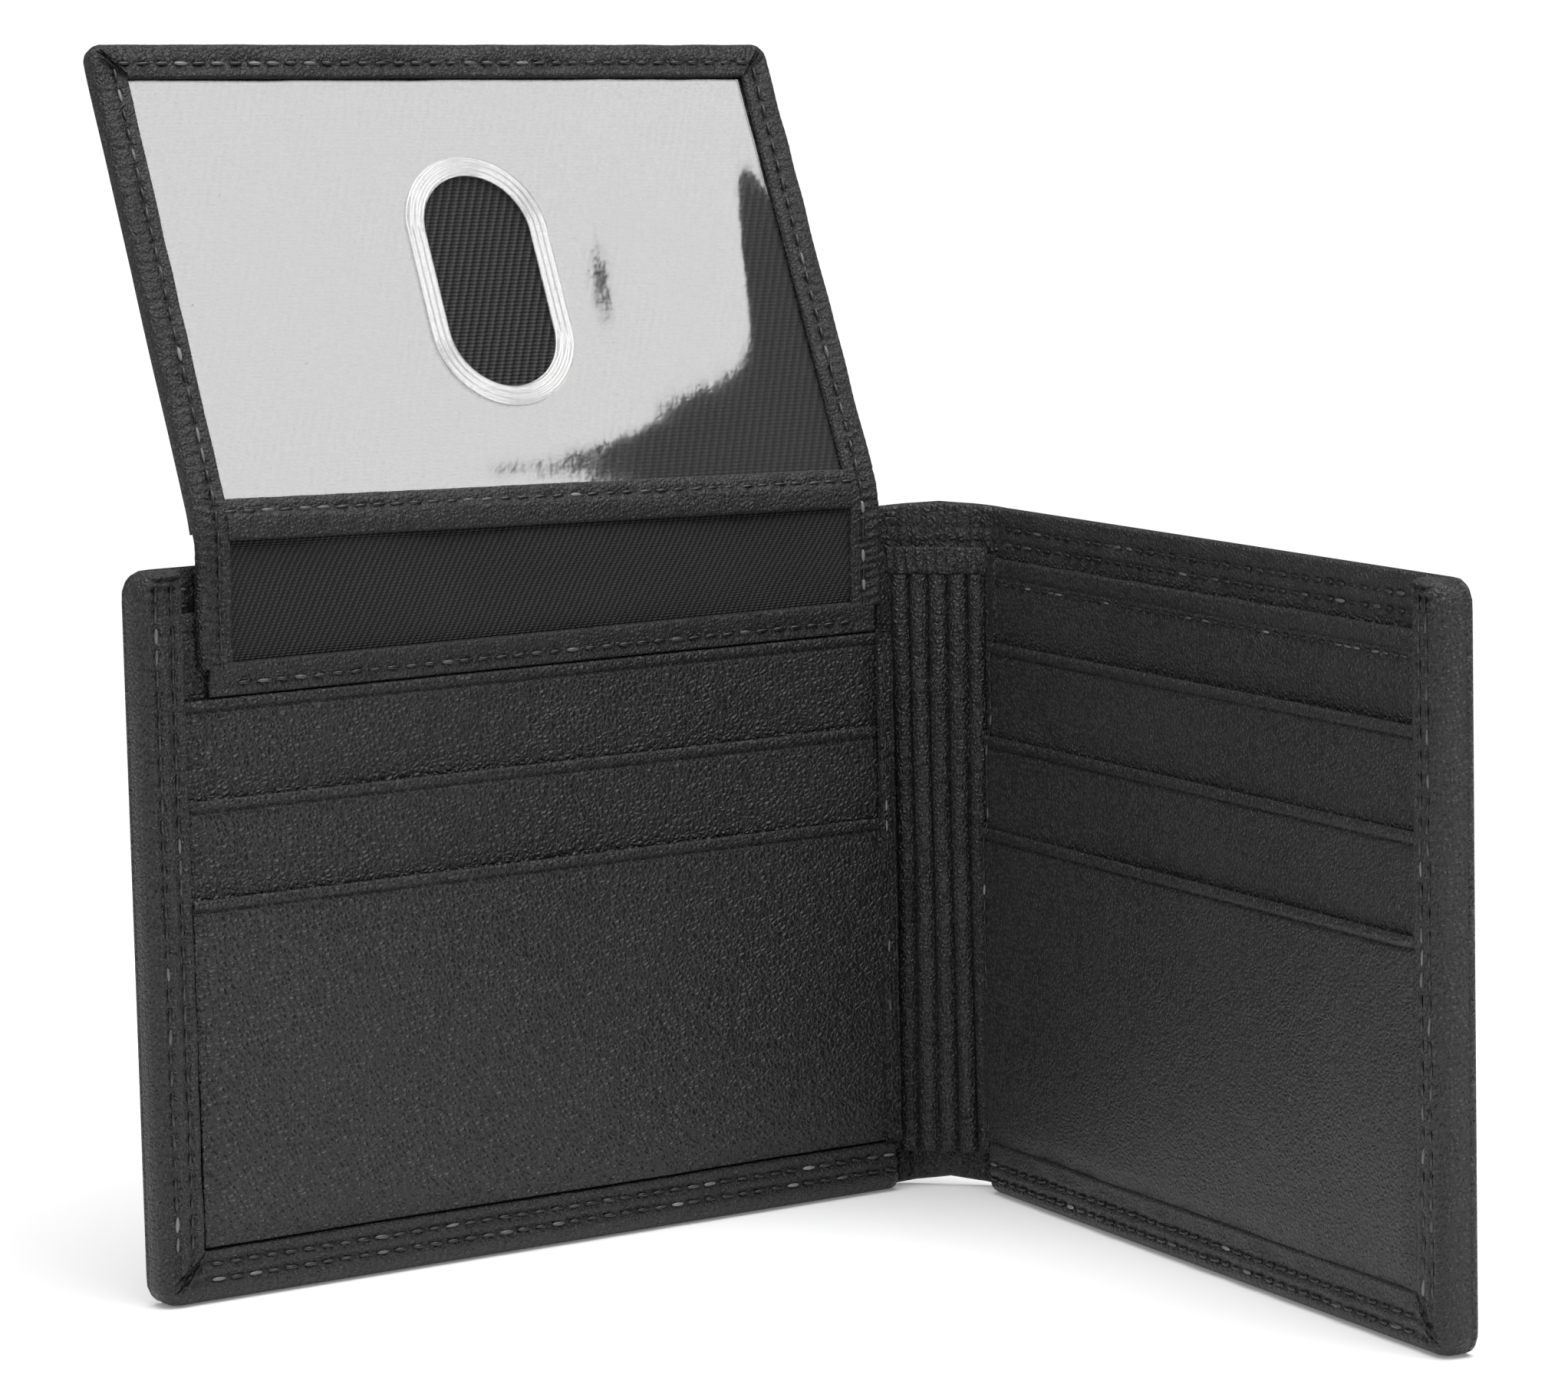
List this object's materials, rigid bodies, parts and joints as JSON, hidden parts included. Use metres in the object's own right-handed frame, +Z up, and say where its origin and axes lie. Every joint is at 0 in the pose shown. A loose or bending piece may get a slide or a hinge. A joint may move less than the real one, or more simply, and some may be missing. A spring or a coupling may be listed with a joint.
{
  "type": "bifold wallet with flip-up ID wing",
  "caption": "Black leather bifold wallet standing open in a V, with card pockets on both panels, a ribbed spine gusset and a raised clear-window ID wing.",
  "frame": {"origin": "middle of the footprint box, on the surface the lower edges stand on", "axes": "+Z up; the V opens towards -Y; +X to the right of someone facing the open inside"},
  "size_m": [0.1732, 0.1008, 0.1511],
  "materials": {
    "grain_leather": "fine pebbled grain, semi-matt",
    "soft_leather": "smoother, fine grain, soft sheen",
    "twill": "diagonal twill weave",
    "satin_lining": "plain woven lining",
    "board": "compressed fibre board, hidden",
    "thread": "twisted polyester thread",
    "clear_vinyl": "clear flexible vinyl, glossy"
  },
  "bodies": {
    "spine": {"spine_cover": "grain_leather", "spine_lining": "satin_lining", "spine_top_hem": "grain_leather", "spine_bottom_hem": "grain_leather", "ribbed_gusset": "soft_leather", "gusset_top_band": "soft_leather"},
    "left_panel": {"left_cover": "grain_leather", "left_board": "board", "left_bill_lining": "satin_lining", "left_side_edge": "grain_leather", "left_bottom_edge": "grain_leather", "left_top_hem": "grain_leather", "left_divider": "grain_leather", "left_pocket_backing": "satin_lining", "left_pocket_upper": "grain_leather", "left_pocket_middle": "grain_leather", "left_pocket_front": "grain_leather", "left_side_stitching": "thread", "left_bottom_stitching": "thread", "left_hem_stitching": "thread", "anchor_twill": "twill", "anchor_outer_binding": "grain_leather", "anchor_inner_binding": "grain_leather", "anchor_strip": "grain_leather", "anchor_stitching": "thread", "left_pocket_side_strip": "grain_leather"},
    "right_panel": {"right_cover": "grain_leather", "right_board": "board", "right_bill_lining": "satin_lining", "right_side_edge": "grain_leather", "right_bottom_edge": "grain_leather", "right_top_hem": "grain_leather", "right_divider": "soft_leather", "right_pocket_backing": "satin_lining", "right_pocket_upper": "soft_leather", "right_pocket_middle": "soft_leather", "right_pocket_front": "soft_leather", "right_side_stitching": "thread", "right_bottom_stitching": "thread", "right_hem_stitching": "thread"},
    "wing_neck": {"neck_twill": "twill", "neck_outer_binding": "grain_leather", "neck_inner_binding": "grain_leather"},
    "id_wing": {"wing_back": "grain_leather", "wing_twill": "twill", "id_window": "clear_vinyl", "thumb_hole_rim": "clear_vinyl", "wing_inner_edge": "grain_leather", "wing_outer_edge": "grain_leather", "wing_top_edge": "grain_leather", "window_trim": "grain_leather", "wing_stitching": "thread", "trim_stitching": "thread"}
  },
  "joints": [
    {"name": "left_fold", "type": "hinge", "parent": "spine", "child": "left_panel", "pos_m": [-0.00137, 0.03363, 0], "axis": [0, 0, 1], "range_deg": [-48.7, 41.3]},
    {"name": "right_fold", "type": "hinge", "parent": "spine", "child": "right_panel", "pos_m": [0.01303, 0.03363, 0], "axis": [0, 0, -1], "range_deg": [-48.7, 41.3]},
    {"name": "wing_fold", "type": "hinge", "parent": "left_panel", "child": "wing_neck", "pos_m": [-0.03263, -0.00786, 0.0836], "axis": [0.6599, 0.7512, -0.014], "range_deg": [-4, 178]},
    {"name": "wing_bend", "type": "hinge", "parent": "wing_neck", "child": "id_wing", "pos_m": [-0.03425, -0.00615, 0.0914], "axis": [0.6597, 0.751, -0.0279], "range_deg": [-0.65, 27.35]}
  ],
  "couplings": [
    {"joint": "wing_bend", "follows": "wing_fold", "ratio": 0.15337}
  ]
}
